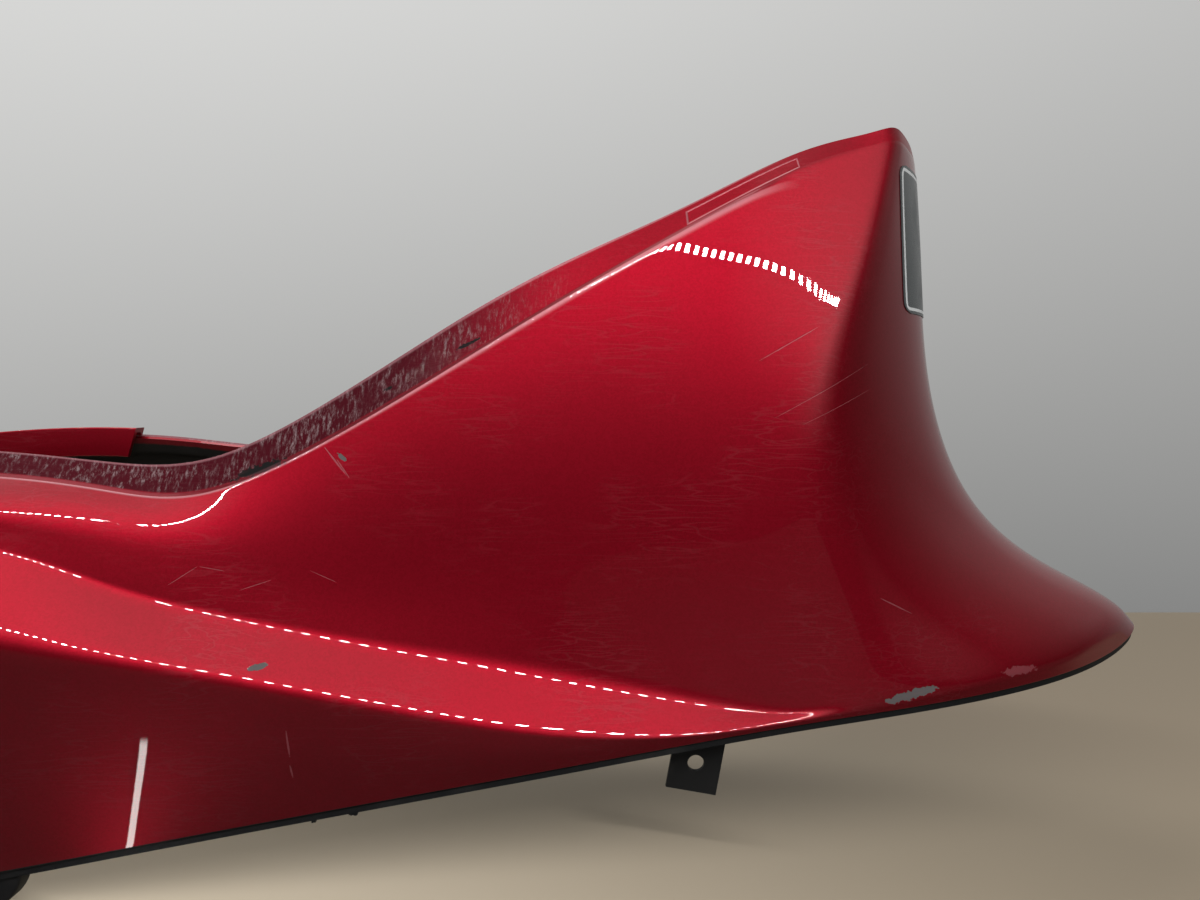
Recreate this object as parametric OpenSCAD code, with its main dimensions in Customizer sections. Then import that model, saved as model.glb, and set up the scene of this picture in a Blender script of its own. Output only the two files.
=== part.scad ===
// Tail fairing of a road motorcycle: one horseshoe-shaped moulding with a rising
// seat rim, a tall rear wall and a ducktail, with its fixing tabs and label film.
// +X points to the rear, -Y is the left side, +Z is up.
// Origin: centre of the outline seen from above, on the lowest point.

/* [Shell] */
// Length from the front ends to the tip of the ducktail
shell_len = 686; // [560:5:830]
// Width over the lower creases at the front
shell_w = 224; // [180:2:270]
// Height from the lowest edge to the two rear peaks
shell_h = 321; // [265:0.5:385]
// Wall of the moulding
wall = 3; // [2:0.1:4]

/* [Seat rim] */
// Depth of the step that the seat's skirt covers
step_depth = 2.4; // [1:0.1:4]
// Rise from the shoulder line to the foot of the step
step_rise = 1.4; // [0.8:0.1:3]

/* [Lower edge] */
// Set-in of the bare lip under the painted edge
lip_in = 1; // [0.5:0.1:2]
// Height of the bare lip
lip_h = 3; // [1.5:0.1:6]
// Outward belly of the lower face at the front
belly = 2; // [0:0.1:6]

/* [Rim strip] */
// Height of the strip that hangs inside the front rim
strip_h = 16; // [8:0.5:24]
// Thickness of the strip
strip_t = 2.5; // [1.5:0.1:4]
// Rise of the strip's fold above the rim
strip_rise = 4; // [2.8:0.1:8]
// Set-in of the strip from the rim's outer face
strip_in = 7; // [5:0.1:12]
// Distance of the strip's rear end from the front end
strip_from_front = 174; // [120:1:220]
// Slant of the strip's rear end
strip_slant = 5; // [0:0.5:10]

/* [Front lugs] */
// Radius of the locating lug's round end
lug_r = 16; // [10:0.5:22]
// Thickness of the lug
lug_t = 8; // [4:0.5:12]
// Reach of the lug below the painted edge
lug_reach = 15; // [8:0.5:22]
// Distance of the lug's centre from the front end
lug_from_front = 184; // [120:1:260]

/* [Rear tabs] */
// Width of the tab
tab_w = 21; // [16:0.5:30]
// Thickness of the steel
tab_t = 2; // [1.5:0.1:4]
// Bore for an M6 screw
tab_hole_d = 6.8; // [5:0.1:9]
// Distance of the bore from the tab's lower end
tab_hole_up = 12; // [9:0.5:20]
// Drop of the bore below the edge of the shell
tab_drop = 15; // [10:0.5:24]
// Lean of the tab from the vertical
tab_lean = 10; // [0:1:20]
// Distance of the bore from the tip of the ducktail
tab_from_tip = 218; // [190:1:250]
// Gap between the tab and the inside of the wall, bridged by the bosses
boss_len = 5.5; // [4.5:0.1:12]

/* [Tab screws] */
// Diameter of the screw thread
screw_d = 4; // [3:0.1:5]
// Diameter of the screw head
head_d = 8; // [6:0.1:10]
// Height of the screw head
head_h = 2.4; // [1.5:0.1:4]
// Depth of the head's six-sided socket
socket_h = 1.4; // [0.8:0.1:2.4]
// Width of the socket over its corners
socket_d = 4; // [2:0.1:5]
// Length of the screw under its head
screw_len = 7; // [5:0.1:8]
// Distance between the two screws of a tab
screw_gap = 11; // [9.5:0.1:14]
// Height of the screws above the bore
screw_up = 38; // [32:0.5:46]
// Diameter of the moulded boss behind each screw
boss_d = 9; // [7:0.1:12]

/* [Clip stumps] */
// Distance of the first stump from the front end
clip_from_front = 316; // [300:0.5:340]
// Distance from the first stump to the second
clip_gap = 15.5; // [8:0.5:30]
// Width of the first stump
clip_w = 1.6; // [1:0.1:3]
// Width of the second stump
clip_wide = 3.4; // [2:0.1:6]
// Thickness of the stumps
clip_t = 2; // [1:0.1:2.4]
// Set-in of the stumps from the lip's outer face
clip_in = 0.5; // [0.2:0.1:0.8]
// Drop of the stumps below the lip
clip_drop = 1.2; // [0.6:0.1:3]

/* [Label] */
// Distance of the film's upper corners from the shell's rear corners
label_gap = 1.5; // [1:0.5:20]
// How much narrower the film is at its lower edge
label_narrow = 13; // [0:1:20]
// Height of the film
label_h = 62; // [40:1:70]
// Thickness of the film
label_t = 0.3; // [0.2:0.05:0.6]
// Distance of the film's upper edge from the height of the peaks
label_down = 14.5; // [10:0.5:30]

/* [Hidden] */
clear = 0.1;
cut = 1;
lap = 1;
bore_spare = 0.5;
strip_lap = 0.4;
lug_seat = 1.5;
lug_rise = 10;
tab_margin = 8;
tau = 0.01;

// Guide curves of the left half as [x, half width, z], from the front end to the
// rear centre line. All have the same stations; the surface is a cubic B-spline net.
rim = [[-316, 67, 177], [-270, 69, 186], [-210, 71, 191], [-156, 70, 190.5],
    [-112, 68.5, 184.5], [-74, 67, 182], [-27, 64.5, 207], [28, 61.5, 243.6],
    [70, 58.5, 267], [121, 55.3, 288.7], [168.5, 51.8, 314.8], [198.5, 50.5, 320.5],
    [209.2, 49.5, 324.9], [215, 43, 323.4], [224.3, 27, 321.8], [230, 12, 321],
    [231, 0, 321]];
shoulder = [[-317, 76, 162], [-272, 79, 173], [-212, 80, 181], [-152, 79, 181],
    [-110, 77, 174.5], [-76, 75, 167.5], [-26, 73, 191], [28, 70, 224], [70, 67.4, 250],
    [121.9, 63.4, 279.8], [169.3, 56.8, 305.3], [201, 52.4, 313.9], [210.3, 50.8, 316.5],
    [215.8, 44.5, 315.7], [225.8, 27.5, 314.3], [231.7, 12, 314], [232.7, 0, 314]];
upper = [[-320, 84, 156], [-275, 87, 168], [-212, 87, 177], [-152, 84.5, 176],
    [-110, 82, 168.5], [-74, 80, 160], [-25, 76, 178], [28, 74, 200], [72, 72.1, 222],
    [122, 69.6, 250], [166.2, 65.9, 265.2], [188.8, 63, 268.5], [198.3, 62.5, 269.4],
    [212.3, 49, 271.2], [228, 30, 272], [235, 13.5, 272], [236.3, 0, 272]];
roll = [[-324, 89, 151], [-277, 92.5, 162], [-212, 93, 172], [-150, 89.5, 168],
    [-108, 85.5, 160], [-72, 83.5, 153], [-24, 79, 160], [28, 76.3, 172], [72, 75, 185],
    [120, 74.5, 205], [157.8, 74.6, 212], [169.4, 75.9, 213], [181.5, 71.8, 214],
    [203.7, 55.5, 216], [228, 32, 217], [238, 14, 218], [239.6, 0, 218]];
flank = [[-329, 92, 147], [-279, 95.5, 158], [-211, 94.5, 168.5], [-149, 90.3, 163],
    [-106, 86.8, 154], [-70, 85, 145], [-22, 81, 142], [28, 77.3, 146], [71, 76, 150],
    [118, 75.8, 155], [151.9, 76, 158.1], [169.8, 75.9, 159.1], [188, 71.5, 161],
    [214, 57, 163], [241, 35, 165.5], [254, 16, 167], [256, 0, 167.5]];
flare = [[-333, 95, 143], [-281, 98.5, 154], [-210, 96, 165], [-148, 91, 159.5],
    [-104, 88, 147], [-68, 86.5, 137], [-21, 82.5, 129], [28, 79, 127], [71, 78, 122],
    [117, 77.5, 115], [156, 78, 113], [180, 77, 115], [204, 72.5, 120], [238, 58, 127],
    [270, 38, 133], [285, 17, 137], [287.5, 0, 138]];
ridge = [[-336, 98, 139], [-283, 101, 150], [-209, 98, 161], [-145, 91.5, 156.5],
    [-104, 90, 137], [-66, 88, 127.5], [-20, 85, 117], [27.8, 82, 108.2],
    [70.9, 80.3, 101.2], [120.2, 80, 91.3], [165.3, 80.5, 82.8], [192, 79, 92],
    [227, 71, 99], [265, 57.5, 107], [300, 38.5, 115.5], [318, 17.5, 121], [321, 0, 122]];
crease = [[-340, 103, 131], [-285, 110, 140], [-207, 113, 134.5], [-140, 110.5, 122.5],
    [-98, 107, 114.5], [-60, 102.5, 106.5], [-16.8, 99, 97.2], [28.2, 96, 87.9],
    [71.1, 92.8, 80], [119, 88.8, 77.5], [165, 82.2, 83], [199, 78, 87],
    [239, 69.8, 92.5], [280, 55, 98], [314, 35.5, 104.5], [333, 16, 110.5], [337, 0, 113]];
bottom = [[-342, 84, 8], [-287, 88, 4], [-208, 91, 14.5], [-148, 92, 25.5], [-100, 92, 35],
    [-60, 91.5, 42.5], [-17, 91, 50.5], [28, 90.5, 58.8], [71, 90, 66.6], [119, 87.7, 75],
    [165, 81.8, 81], [203, 77, 84.8], [244, 67.5, 88], [287, 51.5, 91.5], [320, 31, 95.5],
    [341, 13, 101.5], [345.3, 0, 104]];

last = len(rim) - 1;
end = 2 * last;

// Net point j of a guide over both halves; one point past each end is extrapolated
function half_pt(g, j) = j <= last ? [g[j].x, -g[j].y, g[j].z]
    : [g[end - j].x, g[end - j].y, g[end - j].z];
function net_pt(g, j) = j < 0 ? 2 * half_pt(g, 0) - half_pt(g, 1)
    : j > end ? 2 * half_pt(g, end) - half_pt(g, end - 1)
    : half_pt(g, j);

// Cubic B-spline through the net of one guide, t from 0 (front left) to end (front right)
function spline(g, t) = let (i = min(floor(t), end - 1), f = t - i)
    (pow(1 - f, 3) * net_pt(g, i - 1)
    + (3 * pow(f, 3) - 6 * f * f + 4) * net_pt(g, i)
    + (-3 * pow(f, 3) + 3 * f * f + 3 * f + 1) * net_pt(g, i + 1)
    + pow(f, 3) * net_pt(g, i + 2)) / 6;

// The net's own extent, which the three overall sizes stretch
raw_front = bottom[0].x;
raw_tip = spline(bottom, last).x;
raw_w = 2 * max([for (t = [0:0.25:last]) -spline(crease, t).y]);
raw_low = min([for (t = [0:0.5:last]) spline(bottom, t).z]);
raw_top = max([for (t = [0:0.25:last]) spline(rim, t).z]);
stretch = [shell_len / (raw_tip - raw_front), shell_w / raw_w,
    (shell_h - lip_h) / (raw_top - raw_low)];
mid_x = (raw_tip + raw_front) / 2;
function placed(p) = [(p.x - mid_x) * stretch.x, p.y * stretch.y,
    (p.z - raw_low) * stretch.z + lip_h];
function guide(g, t) = placed(spline(g, t));

// Horizontal unit vector square to a guide, pointing to the inside of the horseshoe
function inward(g, t) = let (
        d = guide(g, min(t + tau, end)) - guide(g, max(t - tau, 0)),
        n = [-d.y, d.x, 0])
    n / norm(n);

// 0 before a, 1 after b, smooth between, for the station s of the nearer half
function station(t) = t > last ? end - t : t;
function ease(s, a, b) = let (f = min(max((s - a) / (b - a), 0), 1)) f * f * (3 - 2 * f);

// Corner points of the section at t, from the rim down to the lip
function section_net(t) = let (
        s = station(t),
        low = guide(bottom, t),
        low_in = inward(bottom, t),
        edge = guide(shoulder, t))
    [
        guide(rim, t),
        edge + inward(shoulder, t) * step_depth * (1 - ease(s, 9.3, 10.1)) + [0, 0, step_rise],
        edge,
        guide(upper, t),
        guide(roll, t),
        guide(flank, t),
        guide(flare, t),
        guide(ridge, t),
        guide(crease, t),
        (guide(crease, t) + low) / 2 - low_in * belly * (1 - ease(s, 7, 9)),
        low,
        low + low_in * lip_in,
        low + low_in * lip_in - [0, 0, lip_h]
    ];

// How many rounds of smoothing each corner stays sharp for
function sharpness(t) = let (s = station(t), rim_fade = 1 - ease(s, 9.3, 10.3))
    [
        0, 3 * rim_fade, 2.6 * rim_fade, 0, 0, 0, 0,
        2 * ease(s, 2, 3.2) * (1 - ease(s, 10, 11)),
        2.2 * (1 - ease(s, 9, 10)),
        0, 3, 3, 0
    ];

// One round halves the spans: corners move to the B-spline place unless kept sharp
function smoothed(p, keep, rounds) = rounds < 1 ? p : let (
        n = 2 * len(p) - 2,
        q = [for (i = [0:n])
            i % 2 == 1 ? (p[(i - 1) / 2] + p[(i + 1) / 2]) / 2
            : i == 0 || i == n ? p[i / 2]
            : let (c = i / 2, w = min(keep[c], 1))
                (p[c - 1] + 6 * p[c] + p[c + 1]) / 8 * (1 - w) + p[c] * w],
        left = [for (i = [0:n]) i % 2 == 1 ? 0 : max(keep[i / 2] - 1, 0)])
    smoothed(q, left, rounds - 1);

// Neighbours that give each corner's direction down the section
above = [0, 0, 0, 2, 3, 4, 5, 6, 7, 8, 9, 10, 10];
below = [3, 3, 3, 4, 5, 6, 7, 8, 9, 10, 12, 12, 12];
function inner_net(t) = let (
        a = section_net(max(t - tau, 0)),
        b = section_net(min(t + tau, end)),
        p = section_net(t))
    [for (i = [0:len(p) - 1]) let (n = cross(b[i] - a[i], p[below[i]] - p[above[i]]))
        p[i] + n * wall / norm(n)];

rounds = 3;
function outer_section(t) = smoothed(section_net(t), sharpness(t), rounds);
function inner_section(t) = smoothed(inner_net(t), sharpness(t), rounds);

// Columns are closer round the rear corners, rows closer at the edges
half_columns = [
    for (t = [0:0.5:1.5]) t,
    for (t = [2:1 / 3:9.9]) t,
    for (t = [10:0.2:13.9]) t,
    for (t = [14:0.25:15.9]) t
];
columns = [each half_columns, last, for (i = [len(half_columns) - 1:-1:0]) end - half_columns[i]];
rows = [0, 4, 8, 14, 16, 18, 22, 26, 30, 34, 38, 42, 46, 50, 54, 56, 58, 61, 63, 64, 65, 68, 74,
    80, 88, 96];

// Closed solid between two grids of points with the same numbers of columns and rows
module shell_between(outside, inside) {
    n = len(outside);
    m = len(outside[0]);
    pts = [for (c = outside) each c, for (c = inside) each c];
    function id(side, i, j) = (side * n + i) * m + j;
    function quad(a, b, c, d) = [[a, b, c], [a, c, d]];
    faces = [
        for (i = [0:n - 2]) for (j = [0:m - 2])
            each quad(id(0, i, j), id(0, i + 1, j), id(0, i + 1, j + 1), id(0, i, j + 1)),
        for (i = [0:n - 2]) for (j = [0:m - 2])
            each quad(id(1, i, j), id(1, i, j + 1), id(1, i + 1, j + 1), id(1, i + 1, j)),
        for (i = [0:n - 2]) each quad(id(0, i, 0), id(1, i, 0), id(1, i + 1, 0), id(0, i + 1, 0)),
        for (i = [0:n - 2]) each quad(id(0, i, m - 1), id(0, i + 1, m - 1),
            id(1, i + 1, m - 1), id(1, i, m - 1)),
        for (j = [0:m - 2]) each quad(id(0, 0, j), id(0, 0, j + 1), id(1, 0, j + 1), id(1, 0, j)),
        for (j = [0:m - 2]) each quad(id(0, n - 1, j), id(1, n - 1, j),
            id(1, n - 1, j + 1), id(0, n - 1, j + 1))
    ];
    polyhedron(pts, faces, convexity = 10);
}

module moulding() {
    outside = [for (t = columns) let (p = outer_section(t)) [for (r = rows) p[r]]];
    inside = [for (t = columns) let (p = inner_section(t)) [for (r = rows) p[r]]];
    shell_between(outside, inside);
}

// Places on the shell: height and half width of the painted lower edge at x, half
// width of the side at x and z, and x of the rear wall at y and z
half_steps = [0:0.25:last];
edge_line = [for (t = half_steps) guide(bottom, t)];
function edge_z(x) = lookup(x, [for (p = edge_line) [p.x, p.z]]);
function edge_y(x) = lookup(x, [for (p = edge_line) [p.x, -p.y]]);
side_sections = [for (t = [8:0.25:11]) outer_section(t)];
function down(p) = [for (q = p) [-q.z, q]];
function at_height(p, z) = [
    lookup(-z, [for (q = p) [-q.z, q.x]]),
    lookup(-z, [for (q = p) [-q.z, -q.y]])];
function side_y(x, z) = lookup(x, [for (p = side_sections) at_height(p, z)]);
rear_sections = [for (t = [11.75:0.25:last]) let (p = outer_section(t)) [for (i = [8:44]) p[i]]];
function rear_line(z) = [for (i = [len(rear_sections) - 1:-1:0])
    let (h = at_height(rear_sections[i], z)) [h[1], h[0]]];

// Folded strip inside the front rim: an inverted U swept along the rim
strip_stations = 12;
strip_end = lookup(-shell_len / 2 + strip_from_front,
    [for (t = half_steps) [guide(rim, t).x, t]]);
module rim_strip(right) {
    n = strip_stations;
    depth = strip_rise - strip_h;
    profile = [[strip_lap, -lap, 0], [strip_lap, strip_rise, 0],
        [strip_in + strip_t, strip_rise, 0], [strip_in + strip_t, depth, strip_slant],
        [strip_in, depth, strip_slant], [strip_in, strip_rise - strip_t, 0],
        [wall - strip_lap, strip_rise - strip_t, 0], [wall - strip_lap, -lap, 0]];
    m = len(profile);
    pts = [for (i = [0:n]) let (
            s = strip_end * i / n,
            t = right ? end - s : s,
            p = guide(rim, t),
            v = inward(rim, t))
        for (q = profile) p + v * q[0] + [-q[2] * i / n, 0, q[1]]];
    function turn(f) = right ? [for (k = [len(f) - 1:-1:0]) f[k]] : f;
    faces = [
        for (i = [0:n - 1]) for (k = [0:m - 1]) let (
                a = i * m + k, b = i * m + (k + 1) % m, c = b + m, d = a + m)
            each [turn([a, b, c]), turn([a, c, d])],
        for (f = [[0, 5, 1], [1, 5, 2], [2, 5, 3], [3, 5, 4], [0, 6, 5], [0, 7, 6]]) turn(f),
        for (f = [[0, 1, 5], [1, 2, 5], [2, 3, 5], [3, 4, 5], [0, 5, 6], [0, 6, 7]])
            turn([for (k = f) k + n * m])
    ];
    polyhedron(pts, faces, convexity = 6);
}

// Runs its children on the left side, or mirrored on the right
module on_side(right) {
    if (right) mirror([0, 1, 0]) children();
    else children();
}

// Rounded locating lug under the front of each arm
module front_lug() {
    x = -shell_len / 2 + lug_from_front;
    z = edge_z(x) - lug_reach + lug_r;
    face = edge_y(x) - lip_in - wall + lug_seat;
    translate([x, -face + lug_t, z]) rotate([90, 0, 0]) {
        cylinder(h = lug_t, r = lug_r, $fn = 64);
        translate([-lug_r, 0, 0]) cube([2 * lug_r, lug_rise, lug_t]);
    }
}

// Frame of a rear tab: origin in its bore, x across, y up along the tab, z outwards
tab_x = shell_len / 2 - tab_from_tip;
tab_z = edge_z(tab_x) - tab_drop;
function tab_point(u, v) = [tab_x + u * cos(tab_lean) + v * sin(tab_lean),
    tab_z - u * sin(tab_lean) + v * cos(tab_lean)];
screw_x = [-screw_gap / 2, screw_gap / 2];
boss_rims = [for (u = screw_x) for (v = [-boss_d / 2, boss_d / 2]) tab_point(u, screw_up + v)];
nearest_side = min([for (p = boss_rims) side_y(p.x, p.y)]);
tab_half = nearest_side - wall - boss_len - tab_t;
module in_tab_frame() {
    translate([tab_x, -tab_half, tab_z]) rotate([90, 0, 0]) rotate(-tab_lean) children();
}

// Moulded bosses that carry a tab, each from the tab's face into the wall
module tab_bosses() {
    for (u = screw_x) {
        at = tab_point(u, screw_up);
        reach = side_y(at.x, at.y) - wall / 2 - tab_half;
        in_tab_frame() translate([u, screw_up, tab_t]) difference() {
            cylinder(h = reach - tab_t, d = boss_d, $fn = 48);
            translate([0, 0, -cut])
                cylinder(h = cut + screw_len - tab_t + bore_spare, d = screw_d + 2 * clear, $fn = 32);
        }
    }
}

// Stumps of two clips that broke off under the left lip
module broken_clips() {
    for (clip = [[clip_from_front, clip_w], [clip_from_front + clip_gap, clip_wide]]) {
        x = clip[0] - shell_len / 2;
        translate([x - clip[1] / 2, lip_in + clip_in - edge_y(x), edge_z(x) - lip_h - clip_drop])
            cube([clip[1], clip_t, clip_drop + lap]);
    }
}

module tail_shell() {
    color("firebrick") union() {
        moulding();
        rim_strip(false);
        rim_strip(true);
        for (right = [false, true]) on_side(right) {
            front_lug();
            tab_bosses();
        }
        broken_clips();
    }
}

// Bare film that follows the rear wall, a little narrower below
label_top = shell_h - label_down;
label_half = -guide(shoulder, last - 4).y - label_gap;
function on_wall(y, z) = [lookup(abs(y), rear_line(z)), y, z];
module label_film() {
    heights = [0:1 / 8:1];
    across = [-1:1 / 16:1];
    function film_pt(f, g, lift) = let (
            z = label_top - label_h * g,
            y = f * (label_half - label_narrow / 2 * g),
            side = on_wall(y + 1, z) - on_wall(y - 1, z),
            rise = on_wall(y, z + 1) - on_wall(y, z - 1),
            n = cross(side, rise))
        on_wall(y, z) + n * lift / norm(n);
    color("darkslategray") shell_between(
        [for (f = across) [for (g = heights) film_pt(f, g, clear + label_t)]],
        [for (f = across) [for (g = heights) film_pt(f, g, clear)]]);
}

// Flat steel tab with its bore and two screw holes
module rear_tab(right) {
    color("black") on_side(right) in_tab_frame() difference() {
        translate([-tab_w / 2, -tab_hole_up, 0])
            cube([tab_w, tab_hole_up + screw_up + tab_margin, tab_t]);
        translate([0, 0, -cut]) cylinder(h = tab_t + 2 * cut, d = tab_hole_d, $fn = 64);
        for (u = screw_x) translate([u, screw_up, -cut])
            cylinder(h = tab_t + 2 * cut, d = screw_d + 2 * clear, $fn = 32);
    }
}

// Two socket screws that clamp a tab to its bosses
module tab_screws(right) {
    color("dimgray") on_side(right) in_tab_frame() for (u = screw_x)
        translate([u, screw_up, 0]) difference() {
            union() {
                translate([0, 0, -head_h]) cylinder(h = head_h, d = head_d, $fn = 48);
                cylinder(h = screw_len, d = screw_d, $fn = 32);
            }
            translate([0, 0, -head_h - cut]) cylinder(h = cut + socket_h, d = socket_d, $fn = 6);
        }
}

tail_shell();
label_film();
rear_tab(false);  // rear_tab_left
rear_tab(true);  // rear_tab_right
tab_screws(false);  // tab_screws_left
tab_screws(true);  // tab_screws_right
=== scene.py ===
"""Tail fairing of a road motorcycle, dressed for its picture.

The moulding is a surface over nine guide curves. Each guide is a cubic B-spline along the horseshoe, and each
section between them is a cubic B-spline whose corners stay sharp for some rounds of subdivision. The film, the rim
strips, the lugs, the bosses and the clip stumps follow the same curves. Shapes are worked out in millimetres and
written to the meshes in metres.
"""

import logging
import math
from dataclasses import dataclass, field
from enum import Enum, IntEnum

import bpy
import numpy as np
from mathutils import Matrix


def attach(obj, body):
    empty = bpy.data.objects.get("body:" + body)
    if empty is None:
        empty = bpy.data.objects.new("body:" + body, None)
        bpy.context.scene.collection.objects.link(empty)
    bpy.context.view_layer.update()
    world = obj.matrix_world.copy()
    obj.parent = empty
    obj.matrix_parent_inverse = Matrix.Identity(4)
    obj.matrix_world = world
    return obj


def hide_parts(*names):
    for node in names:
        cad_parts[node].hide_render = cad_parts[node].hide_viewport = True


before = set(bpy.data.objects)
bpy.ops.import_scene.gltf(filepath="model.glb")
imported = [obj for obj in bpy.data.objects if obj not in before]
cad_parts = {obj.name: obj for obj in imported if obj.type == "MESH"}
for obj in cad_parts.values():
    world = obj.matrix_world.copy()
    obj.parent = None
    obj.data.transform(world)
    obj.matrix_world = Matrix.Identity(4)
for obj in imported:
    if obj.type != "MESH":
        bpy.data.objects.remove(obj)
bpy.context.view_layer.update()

LOG = logging.getLogger("tail_fairing")
Colour = tuple[float, float, float]
Span = tuple[float, float]
Socket = bpy.types.NodeSocket
MM = 0.001


# ---- meshes ----


@dataclass
class Draft:
    """Vertices, faces and values of one mesh before it is written.

    Points are in millimetres, faces are arrays of vertex numbers, and each group of faces has one finish.
    """

    name: str
    points: list[np.ndarray] = field(default_factory=list)
    loops: list[np.ndarray] = field(default_factory=list)
    counts: list[np.ndarray] = field(default_factory=list)
    finishes: list[np.ndarray] = field(default_factory=list)
    values: dict[str, list[np.ndarray]] = field(default_factory=dict)
    size: int = 0

    def add_points(self, points: np.ndarray, **values: np.ndarray) -> int:
        """Add vertices.

        Args:
            points: array (..., 3) in millimetres.
            values: a number for each vertex, by layer name.

        Returns:
            The number of the first new vertex.
        """
        flat = points.reshape(-1, 3)
        base = self.size
        self.points.append(flat)
        for name, value in values.items():
            self.values.setdefault(name, []).append(np.broadcast_to(value, points.shape[:-1]).reshape(-1))
        self.size += len(flat)
        return base

    def add_faces(self, faces: np.ndarray, finish: int = 0, flip: bool = False) -> None:
        """Add faces with the same number of corners.

        Args:
            faces: array (number, corners) of vertex numbers, anticlockwise from outside.
            finish: number of the material slot.
            flip: true where the corners run clockwise.
        """
        rows = faces[:, ::-1] if flip else faces
        self.loops.append(rows.reshape(-1))
        self.counts.append(np.full(len(rows), rows.shape[1]))
        self.finishes.append(np.full(len(rows), finish))

    def write(self, materials: list[bpy.types.Material], slot: str, sharp_deg: float = 35.0) -> bpy.types.Object:
        """Write the mesh, link its object and let it ride on the part.

        Args:
            materials: the finishes, in the order of their numbers.
            slot: not used.
            sharp_deg: an edge with a larger angle between its faces is shaded sharp.

        Returns:
            The new object, at the origin.
        """
        mesh = bpy.data.meshes.new(self.name)
        points = np.vstack(self.points) * MM
        loops = np.concatenate(self.loops)
        counts = np.concatenate(self.counts)
        mesh.vertices.add(len(points))
        mesh.vertices.foreach_set("co", points.ravel())
        mesh.loops.add(len(loops))
        mesh.loops.foreach_set("vertex_index", loops)
        mesh.polygons.add(len(counts))
        mesh.polygons.foreach_set("loop_start", np.concatenate([[0], np.cumsum(counts)[:-1]]))
        mesh.polygons.foreach_set("material_index", np.concatenate(self.finishes))
        mesh.polygons.foreach_set("use_smooth", np.ones(len(counts), dtype=bool))
        for name, parts in self.values.items():
            layer = mesh.attributes.new(name, "FLOAT", "POINT")
            layer.data.foreach_set("value", np.concatenate(parts).astype(np.float32))
        mesh.update(calc_edges=True)
        mesh.validate()
        mesh.set_sharp_from_angle(angle=math.radians(sharp_deg))
        for material in materials:
            mesh.materials.append(material)
        piece = bpy.data.objects.new(self.name, mesh)
        bpy.context.scene.collection.objects.link(piece)
        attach(piece, "root")
        return piece


def grid_quads(columns: int, rows: int, base: int = 0, closed_rows: bool = False) -> np.ndarray:
    """Quads of a grid whose vertex (i, j) has the number base + i * rows + j.

    Args:
        columns: number of columns.
        rows: number of rows.
        base: number of the first vertex.
        closed_rows: true where the last row joins the first.

    Returns:
        Array (quads, 4) that runs (i, j), (i, j + 1), (i + 1, j + 1), (i + 1, j).
    """
    i = np.arange(columns - 1)[:, None]
    j = np.arange(rows if closed_rows else rows - 1)[None, :]
    k = (j + 1) % rows
    corners = [i * rows + j, i * rows + k, (i + 1) * rows + k, (i + 1) * rows + j]
    return np.stack(np.broadcast_arrays(*corners), -1).reshape(-1, 4) + base


def strip_quads(a: np.ndarray, b: np.ndarray) -> np.ndarray:
    """Quads between two rows of vertex numbers, a[i], a[i + 1], b[i + 1], b[i]."""
    return np.stack([a[:-1], a[1:], b[1:], b[:-1]], -1)


def rounded(profile: np.ndarray, radius: float, steps: int = 4) -> np.ndarray:
    """Round each corner of a closed outline with a quadratic curve.

    The curve leaves the outline at the radius before the corner and meets it again at the radius after it, and
    each point is (1 - f)^2 of the first place, 2 f (1 - f) of the corner and f^2 of the second.

    Args:
        profile: outline (n, 2).
        radius: length that is taken from each side, at most 0.45 of the shorter one.
        steps: pieces of each curve.

    Returns:
        Outline (n * (steps + 1), 2).
    """
    before = np.roll(profile, 1, axis=0) - profile
    after = np.roll(profile, -1, axis=0) - profile
    long_before = np.linalg.norm(before, axis=1, keepdims=True)
    long_after = np.linalg.norm(after, axis=1, keepdims=True)
    cut = np.minimum(radius, 0.45 * np.minimum(long_before, long_after))
    start = (profile + before / long_before * cut)[:, None]
    stop = (profile + after / long_after * cut)[:, None]
    f = np.linspace(0, 1, steps + 1)[None, :, None]
    curve = (1 - f) ** 2 * start + 2 * f * (1 - f) * profile[:, None] + f**2 * stop
    return curve.reshape(-1, 2)


def ease(value: np.ndarray, low: float, high: float) -> np.ndarray:
    """0 below low, 1 above high, and 3 f^2 - 2 f^3 between."""
    f = np.clip((value - low) / (high - low), 0, 1)
    return f * f * (3 - 2 * f)


# ---- the surface ----


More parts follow.
